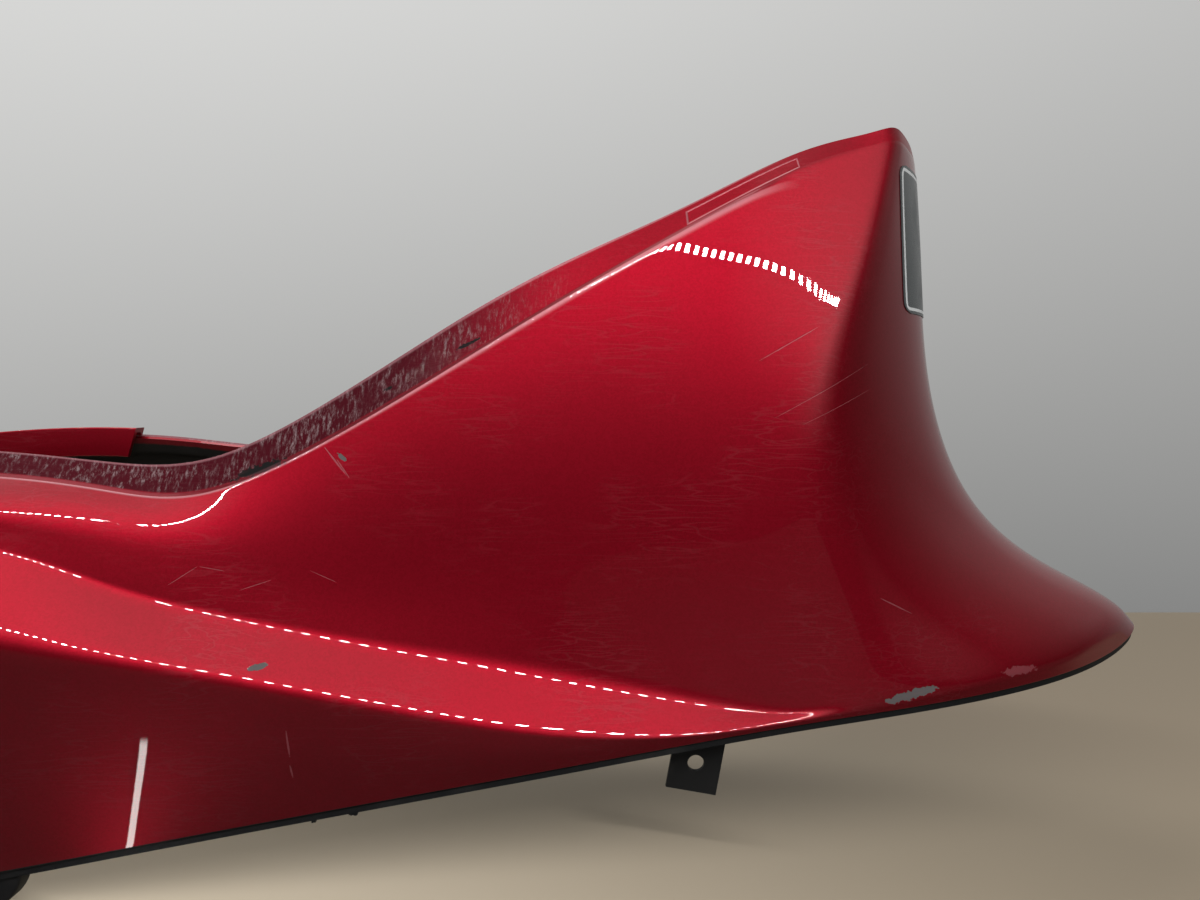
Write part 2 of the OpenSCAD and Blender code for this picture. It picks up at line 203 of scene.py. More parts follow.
class Guide(Enum):
    """Guide curves from the seat rim down to the painted lower edge, as (x, half width, z) at 17 stations."""

    RIM = ((-316, 67, 177), (-270, 69, 186), (-210, 71, 191), (-156, 70, 190.5), (-112, 68.5, 184.5), (-74, 67, 182),
           (-27, 64.5, 207), (28, 61.5, 243.6), (70, 58.5, 267), (121, 55.3, 288.7), (168.5, 51.8, 314.8),
           (198.5, 50.5, 320.5), (209.2, 49.5, 324.9), (215, 43, 323.4), (224.3, 27, 321.8), (230, 12, 321),
           (231, 0, 321))
    SHOULDER = ((-317, 76, 162), (-272, 79, 173), (-212, 80, 181), (-152, 79, 181), (-110, 77, 174.5),
                (-76, 75, 167.5), (-26, 73, 191), (28, 70, 224), (70, 67.4, 250), (121.9, 63.4, 279.8),
                (169.3, 56.8, 305.3), (201, 52.4, 313.9), (210.3, 50.8, 316.5), (215.8, 44.5, 315.7),
                (225.8, 27.5, 314.3), (231.7, 12, 314), (232.7, 0, 314))
    UPPER = ((-320, 84, 156), (-275, 87, 168), (-212, 87, 177), (-152, 84.5, 176), (-110, 82, 168.5), (-74, 80, 160),
             (-25, 76, 178), (28, 74, 200), (72, 72.1, 222), (122, 69.6, 250), (166.2, 65.9, 265.2),
             (188.8, 63, 268.5), (198.3, 62.5, 269.4), (212.3, 49, 271.2), (228, 30, 272), (235, 13.5, 272),
             (236.3, 0, 272))
    ROLL = ((-324, 89, 151), (-277, 92.5, 162), (-212, 93, 172), (-150, 89.5, 168), (-108, 85.5, 160),
            (-72, 83.5, 153), (-24, 79, 160), (28, 76.3, 172), (72, 75, 185), (120, 74.5, 205), (157.8, 74.6, 212),
            (169.4, 75.9, 213), (181.5, 71.8, 214), (203.7, 55.5, 216), (228, 32, 217), (238, 14, 218),
            (239.6, 0, 218))
    FLANK = ((-329, 92, 147), (-279, 95.5, 158), (-211, 94.5, 168.5), (-149, 90.3, 163), (-106, 86.8, 154),
             (-70, 85, 145), (-22, 81, 142), (28, 77.3, 146), (71, 76, 150), (118, 75.8, 155), (151.9, 76, 158.1),
             (169.8, 75.9, 159.1), (188, 71.5, 161), (214, 57, 163), (241, 35, 165.5), (254, 16, 167),
             (256, 0, 167.5))
    FLARE = ((-333, 95, 143), (-281, 98.5, 154), (-210, 96, 165), (-148, 91, 159.5), (-104, 88, 147),
             (-68, 86.5, 137), (-21, 82.5, 129), (28, 79, 127), (71, 78, 122), (117, 77.5, 115), (156, 78, 113),
             (180, 77, 115), (204, 72.5, 120), (238, 58, 127), (270, 38, 133), (285, 17, 137), (287.5, 0, 138))
    RIDGE = ((-336, 98, 139), (-283, 101, 150), (-209, 98, 161), (-145, 91.5, 156.5), (-104, 90, 137),
             (-66, 88, 127.5), (-20, 85, 117), (27.8, 82, 108.2), (70.9, 80.3, 101.2), (120.2, 80, 91.3),
             (165.3, 80.5, 82.8), (192, 79, 92), (227, 71, 99), (265, 57.5, 107), (300, 38.5, 115.5),
             (318, 17.5, 121), (321, 0, 122))
    CREASE = ((-340, 103, 131), (-285, 110, 140), (-207, 113, 134.5), (-140, 110.5, 122.5), (-98, 107, 114.5),
              (-60, 102.5, 106.5), (-16.8, 99, 97.2), (28.2, 96, 87.9), (71.1, 92.8, 80), (119, 88.8, 77.5),
              (165, 82.2, 83), (199, 78, 87), (239, 69.8, 92.5), (280, 55, 98), (314, 35.5, 104.5), (333, 16, 110.5),
              (337, 0, 113))
    BOTTOM = ((-342, 84, 8), (-287, 88, 4), (-208, 91, 14.5), (-148, 92, 25.5), (-100, 92, 35), (-60, 91.5, 42.5),
              (-17, 91, 50.5), (28, 90.5, 58.8), (71, 90, 66.6), (119, 87.7, 75), (165, 81.8, 81), (203, 77, 84.8),
              (244, 67.5, 88), (287, 51.5, 91.5), (320, 31, 95.5), (341, 13, 101.5), (345.3, 0, 104))


class Row(IntEnum):
    """Corners of each section that have a use by number, from the rim down to the bare lip."""

    FOOT = 1
    EDGE = 2
    RIDGE = 7
    CREASE = 8
    LIP = 10


@dataclass(frozen=True)
class Surface:
    """The moulding's outer and inner surfaces over the guide net.

    The way t runs from 0 at the left front end over 16 at the rear centre line to 32 at the right front end.
    """

    length: float = 686.0
    width: float = 224.0
    height: float = 321.0
    wall: float = 3.0
    step_depth: float = 2.4
    step_rise: float = 1.4
    lip_in: float = 1.0
    lip_height: float = 3.0
    belly: float = 2.0
    last: int = 16
    step_fades: Span = (9.3, 10.1)
    step_softens: Span = (9.3, 10.3)
    belly_fades: Span = (7, 9)
    ridge_sharpens: Span = (2, 3.2)
    ridge_fades: Span = (10, 11)
    crease_fades: Span = (9, 10)

    @property
    def end(self) -> int:
        """The way at the right front end."""
        return 2 * self.last

    def station(self, t: np.ndarray) -> np.ndarray:
        """The way folded at the rear centre line, so that both halves count from the front."""
        return np.where(t > self.last, self.end - t, t)

    def raw(self, guide: Guide, t: np.ndarray) -> np.ndarray:
        """Uniform cubic B-spline over a guide and its mirror image.

        With f the part of t past its whole number, the four points round it weigh (1 - f)^3,
        3 f^3 - 6 f^2 + 4, -3 f^3 + 3 f^2 + 3 f + 1 and f^3, over 6. One point past each end is extrapolated.

        Args:
            guide: the guide curve.
            t: places along the horseshoe.

        Returns:
            Points (len(t), 3).
        """
        half = np.array(guide.value, float) * [1, -1, 1]
        net = np.vstack([half, half[-2::-1] * [1, -1, 1]])
        net = np.vstack([2 * net[0] - net[1], net, 2 * net[-1] - net[-2]])
        i = np.minimum(t.astype(int), self.end - 1)
        f = (t - i)[:, None]
        weights = ((1 - f) ** 3, 3 * f**3 - 6 * f**2 + 4, -3 * f**3 + 3 * f**2 + 3 * f + 1, f**3)
        return sum(weight * net[i + k] for k, weight in enumerate(weights)) / 6

    def guide(self, guide: Guide, t: np.ndarray) -> np.ndarray:
        """A guide curve stretched to the overall sizes, with its middle at x = 0 and its lowest point above z = 0."""
        quarter = np.arange(0, self.last + 0.1, 0.25)
        centre = np.array([float(self.last)])
        front = Guide.BOTTOM.value[0][0]
        tip = self.raw(Guide.BOTTOM, centre)[0, 0]
        low = self.raw(Guide.BOTTOM, quarter[::2])[:, 2].min()
        top = self.raw(Guide.RIM, quarter)[:, 2].max()
        wide = -2 * self.raw(Guide.CREASE, quarter)[:, 1].min()
        tall = self.height - self.lip_height
        stretch = np.array([self.length / (tip - front), self.width / wide, tall / (top - low)])
        return (self.raw(guide, t) - [(tip + front) / 2, 0, low]) * stretch + [0, 0, self.lip_height]

    def inward(self, guide: Guide, t: np.ndarray) -> np.ndarray:
        """Horizontal unit vectors square to a guide, from its slope over a hundredth of a station."""
        d = self.guide(guide, np.minimum(t + 0.01, self.end)) - self.guide(guide, np.maximum(t - 0.01, 0))
        n = np.column_stack([-d[:, 1], d[:, 0], np.zeros(len(t))])
        return n / np.linalg.norm(n, axis=1, keepdims=True)

    def corners(self, t: np.ndarray) -> np.ndarray:
        """Thirteen corner points of each section, from the rim to the lip.

        The foot of the seat step lies inward of the shoulder, the belly lies outward of the middle of the lower
        face, and the lip hangs under the painted edge.

        Args:
            t: places along the horseshoe.

        Returns:
            Points (len(t), 13, 3).
        """
        s = self.station(t)
        edge, low, crease = (self.guide(g, t) for g in (Guide.SHOULDER, Guide.BOTTOM, Guide.CREASE))
        low_in = self.inward(Guide.BOTTOM, t)
        depth = self.step_depth * (1 - ease(s, *self.step_fades))
        bulge = self.belly * (1 - ease(s, *self.belly_fades))
        foot = edge + self.inward(Guide.SHOULDER, t) * depth[:, None] + [0, 0, self.step_rise]
        belly = (crease + low) / 2 - low_in * bulge[:, None]
        lip = low + low_in * self.lip_in
        faces = [self.guide(g, t) for g in (Guide.UPPER, Guide.ROLL, Guide.FLANK, Guide.FLARE, Guide.RIDGE)]
        rows = [self.guide(Guide.RIM, t), foot, edge, *faces, crease, belly, low, lip, lip - [0, 0, self.lip_height]]
        return np.stack(rows, 1)

    def sharpness(self, t: np.ndarray) -> np.ndarray:
        """Rounds of subdivision for which each corner stays sharp, (len(t), 13)."""
        s = self.station(t)
        fade = 1 - ease(s, *self.step_softens)
        keep = np.zeros((len(t), 13))
        keep[:, Row.FOOT] = 3 * fade
        keep[:, Row.EDGE] = 2.6 * fade
        keep[:, Row.RIDGE] = 2 * ease(s, *self.ridge_sharpens) * (1 - ease(s, *self.ridge_fades))
        keep[:, Row.CREASE] = 2.2 * (1 - ease(s, *self.crease_fades))
        keep[:, Row.LIP:Row.LIP + 2] = 3
        return keep

    @staticmethod
    def smoothed(net: np.ndarray, keep: np.ndarray, rounds: int) -> np.ndarray:
        """Subdivide each section as a cubic B-spline with corners that stay sharp for some rounds.

        A round puts a point halfway along each side and moves each corner to an eighth of its neighbours and
        six eighths of itself, less where it is kept sharp.

        Args:
            net: corner points (columns, corners, 3).
            keep: rounds for which each corner stays sharp (columns, corners).
            rounds: number of rounds.

        Returns:
            Points (columns, (corners - 1) * 2^rounds + 1, 3).
        """
        for _ in range(rounds):
            weight = np.clip(keep, 0, 1)[..., None]
            moved = net.copy()
            moved[:, 1:-1] = (net[:, :-2] + 6 * net[:, 1:-1] + net[:, 2:]) / 8
            fine = np.empty((net.shape[0], 2 * net.shape[1] - 1, 3))
            fine[:, ::2] = moved * (1 - weight) + net * weight
            fine[:, [0, -1]] = net[:, [0, -1]]
            fine[:, 1::2] = (net[:, :-1] + net[:, 1:]) / 2
            left = np.zeros(fine.shape[:2])
            left[:, ::2] = np.maximum(keep - 1, 0)
            net, keep = fine, left
        return net

    def outer(self, t: np.ndarray, rounds: int) -> np.ndarray:
        """Outer surface, (len(t), rows, 3)."""
        return self.smoothed(self.corners(t), self.sharpness(t), rounds)

    def inner(self, t: np.ndarray, rounds: int) -> np.ndarray:
        """Inner surface: each corner moves by the wall along the cross product of the two directions of the net."""
        above = [0, 0, 0, 2, 3, 4, 5, 6, 7, 8, 9, 10, 10]
        below = [3, 3, 3, 4, 5, 6, 7, 8, 9, 10, 12, 12, 12]
        net = self.corners(t)
        along = self.corners(np.minimum(t + 0.01, self.end)) - self.corners(np.maximum(t - 0.01, 0))
        n = np.cross(along, net[:, below] - net[:, above])
        n /= np.linalg.norm(n, axis=2, keepdims=True)
        return self.smoothed(net + n * self.wall, self.sharpness(t), rounds)

    def way_at(self, x: float, guide: Guide) -> float:
        """The way on the left half at which a guide passes x."""
        t = np.linspace(0, self.last, 321)
        return float(np.interp(x, self.guide(guide, t)[:, 0], t))

    def edge(self, x: float) -> Span:
        """Half width and height of the painted lower edge at x."""
        p = self.guide(Guide.BOTTOM, np.array([self.way_at(x, Guide.BOTTOM)]))[0]
        return -p[1], p[2]

    def side(self, x: float, z: float) -> float:
        """Half width of the left side at x and z, between sections round stations 8 to 11."""
        sections = self.outer(np.linspace(8, 11, 61), 3)
        depth = np.array([[np.interp(-z, -p[:, 2], p[:, 0]), np.interp(-z, -p[:, 2], -p[:, 1])] for p in sections])
        return float(np.interp(x, depth[:, 0], depth[:, 1]))


# ---- finishes ----


REAR = 16.0
LEFT_OF = -20.0


class Nodes:
    """Node tree of a material or of the world, with short ways to add its nodes."""

    def __init__(self, tree: bpy.types.NodeTree) -> None:
        """Empty a tree and keep it."""
        self.tree = tree
        tree.nodes.clear()

    def put(self, socket: Socket, value: object) -> None:
        """Link a socket or set it to a plain value."""
        if isinstance(value, Socket):
            self.tree.links.new(value, socket)
        elif socket.type == "RGBA":
            socket.default_value = (*value, 1)
        else:
            socket.default_value = value

    def node(self, kind: str, inputs: dict[object, object], output: object = 0, **options: object) -> Socket:
        """Add a node.

        Args:
            kind: Blender's name of the node's type.
            inputs: values or sockets by the name or number of the input.
            output: name or number of the output.
            options: the node's own settings.

        Returns:
            The chosen output.
        """
        node = self.tree.nodes.new(kind)
        for name, value in options.items():
            setattr(node, name, value)
        for name, value in inputs.items():
            self.put(node.inputs[name], value)
        return node.outputs[output]

    def end_in(self, kind: str, surface: Socket) -> None:
        """Add the tree's output node and link its surface."""
        self.tree.links.new(surface, self.tree.nodes.new(kind).inputs["Surface"])

    def math(self, kind: str, *values: object, clamp: bool = False) -> Socket:
        """One step of arithmetic on numbers or sockets."""
        return self.node("ShaderNodeMath", dict(enumerate(values)), operation=kind, use_clamp=clamp)

    def chain(self, kind: str, values: tuple[object, ...]) -> Socket:
        """The same step of arithmetic over several values, from the first to the last."""
        result = values[0]
        for value in values[1:]:
            result = self.math(kind, result, value)
        return result

    def times(self, *values: object) -> Socket:
        """Product of the values."""
        return self.chain("MULTIPLY", values)

    def plus(self, *values: object) -> Socket:
        """Sum of the values."""
        return self.chain("ADD", values)

    def most(self, *values: object) -> Socket:
        """Largest of the values."""
        return self.chain("MAXIMUM", values)

    def minus(self, a: object, b: object) -> Socket:
        """The first value less the second."""
        return self.math("SUBTRACT", a, b)

    def apart(self, a: object, b: object) -> Socket:
        """Distance between two values."""
        return self.math("ABSOLUTE", self.minus(a, b))

    def between(self, factor: object, a: object, b: object) -> Socket:
        """Number a where the factor is 0 and b where it is 1."""
        return self.node("ShaderNodeMix", {0: factor, 2: a, 3: b}, 0, data_type="FLOAT")

    def ramp(self, value: object, low: float, high: float, start: float = 0.0, stop: float = 1.0,
             kind: str = "LINEAR") -> Socket:
        """Level that goes from start to stop while a value goes from low to high."""
        return self.node("ShaderNodeMapRange", {0: value, 1: low, 2: high, 3: start, 4: stop}, interpolation_type=kind)

    def ease(self, value: object, low: float, high: float, start: float = 0.0, stop: float = 1.0) -> Socket:
        """Ramp with smooth ends."""
        return self.ramp(value, low, high, start, stop, "SMOOTHSTEP")

    def band(self, value: object, centre: float, full: float, none: float) -> Socket:
        """1 within one distance of a centre and 0 beyond another."""
        return self.ease(self.apart(value, centre), full, none, 1, 0)

    def axis(self, vector: object, which: int) -> Socket:
        """One coordinate of a vector."""
        return self.node("ShaderNodeSeparateXYZ", {0: vector}, which)

    def ray(self, kind: str) -> Socket:
        """1 for rays of one kind, such as Camera or Glossy."""
        return self.node("ShaderNodeLightPath", {}, f"Is {kind} Ray")


class Graph(Nodes):
    """Node graph of one material with a principled shader."""

    def __init__(self, name: str) -> None:
        """Start a material.

        Args:
            name: the material's name.
        """
        self.material = bpy.data.materials.new(name)
        self.material.use_nodes = True
        super().__init__(self.material.node_tree)
        self.shader = self.tree.nodes.new("ShaderNodeBsdfPrincipled")
        self.end_in("ShaderNodeOutputMaterial", self.shader.outputs[0])
        self.place = self.node("ShaderNodeTexCoord", {}, "Object")
        self.mm = self.mapped((1000, 1000, 1000))

    def finish(self, values: dict[str, object]) -> bpy.types.Material:
        """Put values or sockets on the shader, by the name of its input, and return the material."""
        for name, value in values.items():
            self.put(self.shader.inputs[name], value)
        return self.material

    def mapped(self, scale: Colour, turn: Colour = (0, 0, 0)) -> Socket:
        """Object coordinates turned by Euler angles in degrees and scaled."""
        turned = tuple(math.radians(a) for a in turn)
        return self.node("ShaderNodeMapping", {"Vector": self.place, "Scale": scale, "Rotation": turned})

    def value(self, name: str) -> Socket:
        """A number that the mesh keeps at its vertices."""
        return self.node("ShaderNodeAttribute", {}, "Fac", attribute_name=name)

    def blend(self, factor: object, a: object, b: object) -> Socket:
        """Colour a where the factor is 0 and b where it is 1."""
        return self.node("ShaderNodeMix", {0: factor, 6: a, 7: b}, 2, data_type="RGBA")

    def noise(self, vector: object, scale: float, detail: float = 2.0, rough: float = 0.5,
              warp: float = 0.0) -> Socket:
        """Fractal noise from 0 to 1, with scale in cells per unit of the vector."""
        inputs = {"Vector": vector, "Scale": scale, "Detail": detail, "Roughness": rough, "Distortion": warp}
        return self.node("ShaderNodeTexNoise", inputs, "Fac")

    def bump(self, height: object, strength: float, distance: float, normal: object = None) -> Socket:
        """Normal bent by a height, with the distance in metres."""
        inputs = {"Height": height, "Strength": strength, "Distance": distance}
        if normal is not None:
            inputs["Normal"] = normal
        return self.node("ShaderNodeBump", inputs, "Normal")

    def hairlines(self, density: float, turn: float, width: float = 0.02) -> Socket:
        """Fine straight scratches: the thin valleys of a noise that is drawn out along one direction."""
        drawn = self.mapped((6, 60, 60 * density), (0, turn, 0))
        return self.band(self.noise(drawn, 4.0, 1.0, 0.4, 0.3), 0.5, 0, width)


@dataclass(frozen=True)
class Mark:
    """A worn place on the left side, as an ellipse seen from the side with a ragged edge.

    Lengths are in millimetres and the angle is in degrees, up towards the rear.
    """

    x: float
    z: float
    long: float
    high: float
    angle: float = 0.0
    ragged: float = 0.6
    grain: float = 0.5

    def mask(self, g: Graph) -> Socket:
        """1 inside the mark and 0 outside: the ellipse's own radius with noise added, on the left side only."""
        c, s = math.cos(math.radians(self.angle)), math.sin(math.radians(self.angle))
        dx, dz = g.minus(g.axis(g.mm, 0), self.x), g.minus(g.axis(g.mm, 2), self.z)
        u = g.plus(g.times(dx, c / self.long), g.times(dz, s / self.long))
        v = g.minus(g.times(dz, c / self.high), g.times(dx, s / self.high))
        radius = g.math("SQRT", g.plus(g.times(u, u), g.times(v, v)))
        edge = g.times(g.minus(g.noise(g.mm, self.grain, 3.0, 0.6), 0.5), self.ragged * 4)
        inside = g.ease(g.plus(radius, edge), 0.9, 1.05, 1, 0)
        return g.times(inside, g.math("LESS_THAN", g.axis(g.mm, 1), LEFT_OF))


@dataclass(frozen=True)
class Pocket:
    """Slim shallow pocket in the flange under each side of the peak, as a box in the way and down the section.

    Lengths along the two directions are brought to millimetres by the size of a station and of a row.
    """

    way: float = 9.54
    down: float = 0.63
    half_way: float = 0.51
    half_down: float = 0.31
    station_mm: float = 45.0
    row_mm: float = 8.4

    def distance(self, g: Graph, way: object, down: object) -> Socket:
        """Distance in millimetres from the outline, below 0 inside: the larger of the two distances from the sides."""
        folded = g.minus(REAR, g.apart(way, REAR))
        along = g.minus(g.apart(folded, self.way), self.half_way)
        across = g.minus(g.apart(down, self.down), self.half_down)
        return g.most(g.times(along, self.station_mm), g.times(across, self.row_mm))


@dataclass(frozen=True)
class CandyPaint:
    """Deep candy red over bright flake under a clear coat, worn where the seat's skirt rubs.

    The way is the station along the horseshoe, and down counts the rows of the section from the rim: 1 is the foot
    of the seat step and 2 is the shoulder.
    """

    red: Colour = (0.365, 0.0027, 0.0168)
    deep: Colour = (0.27, 0.0017, 0.0098)
    grimy: Colour = (0.075, 0.008, 0.015)
    scuffed: Colour = (0.32, 0.23, 0.24)
    hazed: Colour = (0.36, 0.10, 0.12)
    primer: Colour = (0.115, 0.10, 0.10)
    black: Colour = (0.003, 0.003, 0.003)
    # Painted highlight colour for thin lit edges; on the rim's edge it is also bare worn paint.
    edge_highlight_and_wear: Colour = (0.55, 0.27, 0.30)
    roughness: float = 0.51
    coat_roughness: float = 0.006
    coat_ior: float = 1.5
    flake_cells: float = 1.5
    bare_marks: tuple[Mark, ...] = (
        Mark(212.0, 87.6, 11.0, 1.9, 12.0, 0.45, 0.45),
        Mark(-44.5, 105.8, 3.4, 1.1, 8.0, 0.3, 0.5),
        Mark(-17.6, 184.2, 2.3, 0.8, -38.0, 0.4, 0.8),
    )
    black_marks: tuple[Mark, ...] = (
        Mark(-51.0, 179.4, 11.5, 1.9, 20.0, 0.7, 0.6),
        Mark(31.8, 229.6, 5.0, 0.8, 26.0, 0.5, 0.8),
        Mark(-0.5, 211.6, 2.2, 0.7, 24.0, 0.5, 0.8),
    )
    pale_marks: tuple[Mark, ...] = (
        Mark(-19.8, 182.2, 7.4, 0.34, -50.0, 0.25, 0.6),
        Mark(-17.0, 179.8, 4.6, 0.26, -54.0, 0.25, 0.6),
        Mark(262.0, 93.2, 8.0, 1.7, 2.0, 0.6, 0.5),
        Mark(206.4, 123.0, 7.2, 0.26, -27.0, 0.2, 0.4),
        Mark(-33.4, 76.5, 0.35, 5.2, 4.0, 0.3, 0.6),
        Mark(-33.0, 65.0, 0.35, 2.8, 8.0, 0.3, 0.6),
        Mark(-76.8, 138.9, 6.4, 0.16, 33.0, 0.2, 0.3),
        Mark(-66.4, 141.2, 5.4, 0.14, -11.0, 0.2, 0.3),
        Mark(-49.6, 134.6, 6.0, 0.16, 17.5, 0.2, 0.3),
        Mark(-23.6, 137.4, 5.4, 0.14, -24.6, 0.2, 0.3),
        Mark(161.4, 229.6, 14.5, 0.18, 29.6, 0.2, 0.3),
        Mark(174.0, 210.0, 24.0, 0.11, 28.5, 0.2, 0.3),
        Mark(181.0, 204.0, 17.0, 0.09, 25.0, 0.2, 0.3),
    )

    @staticmethod
    def any_of(g: Graph, marks: tuple[Mark, ...]) -> Socket:
        """1 inside any of the marks."""
        return g.most(*(mark.mask(g) for mark in marks))

    def make(self) -> bpy.types.Material:
        """Build the material.

        Returns:
            The painted finish of the moulding and of the rim strips.
        """
        g = Graph("candy_red_paint")
        way, down = g.value("way"), g.value("down")
        from_rear = g.apart(way, REAR)
        sparkle = g.axis(g.node("ShaderNodeTexVoronoi", {"Vector": g.mm, "Scale": self.flake_cells}, "Color"), 0)
        cloud = g.noise(g.mm, 0.012, 3.0, 0.5)
        colour = g.blend(g.between(0.55, cloud, sparkle), self.deep, self.red)

        # Rubbed flange, with grime and slanting scuffs at the front.
        outside = g.ease(down, -0.5, -0.4)
        flange = g.times(g.ease(down, 0.95, 1.05, 1, 0), outside)
        front = g.ease(from_rear, 7.6, 9.6)
        rubbed = g.times(flange, front)
        worn_coat = g.times(flange, g.between(front, 0.6, 1.0))
        colour = g.blend(g.times(rubbed, 0.92), colour, self.grimy)
        scrape = g.ease(g.noise(g.mapped((720, 400, 150), (0, 28, 0)), 1.0, 5.0, 0.78), 0.47, 0.70)
        patches = g.ease(g.noise(g.mapped((70, 70, 70)), 1.0, 4.0, 0.65), 0.38, 0.60, 0.15, 1.0)
        scuff = g.times(rubbed, scrape, patches)
        colour = g.blend(g.times(scuff, 0.9), colour, self.scuffed)

        # Scratches, and chips down to the primer or the black plastic.
        pale, bare, chip = (self.any_of(g, marks) for marks in (self.pale_marks, self.bare_marks, self.black_marks))
        colour = g.blend(g.times(pale, 0.55), colour, self.hazed)
        colour = g.blend(bare, colour, self.primer)
        colour = g.blend(chip, colour, self.black)
        gone = g.most(bare, chip)

        # Painted highlight on the pocket's outline and the shoulder, painted highlight with bare worn paint on the
        # rim's edge, and the dirty face of the step.
        outline = Pocket().distance(g, way, down)
        sunk = g.ease(outline, -0.6, 0.2, 1, 0)
        # Painted highlight: a pale line along the pocket's outline.
        colour = g.blend(g.times(g.band(outline, 0.0, 0.15, 0.5), 0.42), colour, self.edge_highlight_and_wear)
        stepped = g.times(outside, g.ease(from_rear, 5.9, 6.6))
        # Painted highlight along the shoulder, and along the rim's edge, where the paint is also worn bare.
        lit_and_worn_edges = g.times(stepped, g.most(g.ease(down, 0.04, 0.11, 1, 0), g.band(down, 1.96, 0.04, 0.14)))
        colour = g.blend(g.times(lit_and_worn_edges, 0.5), colour, self.edge_highlight_and_wear)
        step_face = g.times(stepped, g.ease(down, 1.7, 1.95, 0.9, 0))
        colour = g.blend(g.times(step_face, g.ease(down, 0.97, 1.03), 0.55), colour, self.grimy)

        # Hairlines of polishing over the whole coat.
        lines = g.most(g.hairlines(1.0, 25), g.hairlines(1.4, -38), g.hairlines(0.8, 74))
        swirl = g.times(lines, g.ease(g.noise(g.mm, 0.02, 2.0, 0.5), 0.42, 0.62))
        colour = g.blend(g.times(swirl, 0.10), colour, self.hazed)

        dull = g.most(scuff, g.times(pale, 0.6))
        rough = g.plus(self.roughness, g.times(swirl, 0.05), g.times(rubbed, 0.25))
        soft = g.bump(g.noise(g.mm, 0.35, 1.0, 0.4), 0.004, 0.0004)
        height = g.plus(g.times(swirl, 0.006), g.times(g.plus(gone, dull), 0.8), g.times(sunk, 3.0))
        scored = g.bump(height, 0.5, -0.00012, soft)
        return g.finish({
            "Base Color": colour,
            "Roughness": g.math("ADD", rough, g.times(gone, 0.3), clamp=True),
            "Metallic": g.times(g.between(gone, 0.92, 0.0), g.between(dull, 1.0, 0.25)),
            "Normal": g.bump(sparkle, 0.12, 0.00008, scored),
            "Coat Normal": scored,
            "Coat Weight": g.minus(1.0, g.most(gone, worn_coat, step_face)),
            "Coat Roughness": self.coat_roughness,
            "Coat IOR": self.coat_ior,
        })


@dataclass(frozen=True)
class MouldedPlastic:
    """Black moulded plastic with fine grain, dusty, with red overspray just under the seat rim."""

    black: Colour = (0.006, 0.006, 0.0065)
    dust: Colour = (0.030, 0.028, 0.026)
    spray: Colour = (0.20, 0.006, 0.012)
    roughness: float = 0.55
    dusty_rise: float = 0.16
    shine: float = 0.3

    def make(self) -> bpy.types.Material:
        """Build the material of the inside, the lip, the lugs and the bosses.

        The layer 'overspray' is 1 at the rim and falls to 0 down the inside.
        """
        g = Graph("black_moulded_plastic")
        dusty = g.ease(g.noise(g.mm, 0.03, 4.0, 0.6), 0.45, 0.75)
        colour = g.blend(g.times(dusty, 0.5), self.black, self.dust)
        ragged = g.plus(g.value("overspray"), g.times(g.minus(g.noise(g.mm, 0.25, 3.0, 0.6), 0.5), 0.5))
        grain = g.noise(g.mm, 1.4, 2.0, 0.5)
        return g.finish({
            "Base Color": g.blend(g.ease(ragged, 0.3, 0.7), colour, self.spray),
            "Roughness": g.plus(g.between(dusty, self.roughness, self.roughness + self.dusty_rise),
                                g.times(grain, 0.06)),
            "Specular IOR Level": self.shine,
            "Normal": g.bump(grain, 0.25, 0.0002),
        })


@dataclass(frozen=True)
class LabelFilm:
    """Dark film with a pale border line and a glossy face, left bare."""

    slate: Colour = (0.055, 0.064, 0.067)
    rubbed_slate: Colour = (0.075, 0.088, 0.09)
    border: Colour = (0.86, 0.88, 0.88)
    edge: float = 1.3
    line: float = 1.3
    soft: float = 0.12

    def make(self) -> bpy.types.Material:
        """Build the material; the layer 'edge_away' holds the distance from the film's edge in millimetres."""
        g = Graph("label_film_print")
        away = g.value("edge_away")
        stop = self.edge + self.line
        inside = g.times(g.ease(away, self.edge - self.soft, self.edge + self.soft),
                         g.ease(away, stop - self.soft, stop + self.soft, 1, 0))
        speck = g.noise(g.mm, 0.9, 3.0, 0.6)
        rubbed = g.ease(g.noise(g.mm, 0.05, 4.0, 0.6), 0.5, 0.8)
        slate = g.blend(g.times(g.plus(speck, rubbed), 0.25), self.slate, self.rubbed_slate)
        return g.finish({
            "Base Color": g.blend(inside, slate, self.border),
            "Roughness": g.between(rubbed, 0.26, 0.42),
            "Normal": g.bump(speck, 0.12, 0.0002),
            "Coat Weight": 0.1,
            "Coat Roughness": 0.2,
        })


@dataclass(frozen=True)
class Steel:
    """Steel part: black powder coat or bright zinc, with worn patches and fine grain."""

    name: str
    colour: Colour
    worn: Colour
    metallic: float
    roughness: float
    worn_rise: float = 0.12

    def make(self) -> bpy.types.Material:
        """Build the material."""
        g = Graph(self.name)
        grain = g.noise(g.mm, 2.2, 3.0, 0.6)
        patch = g.ease(g.noise(g.mm, 0.12, 4.0, 0.65), 0.55, 0.75)
        return g.finish({
            "Base Color": g.blend(g.times(patch, 0.5), self.colour, self.worn),
            "Roughness": g.plus(g.between(patch, self.roughness, self.roughness + self.worn_rise),
                                g.times(grain, 0.08)),
            "Metallic": self.metallic,
            "Normal": g.bump(grain, 0.3, 0.00015),
        })


# ---- pieces ----


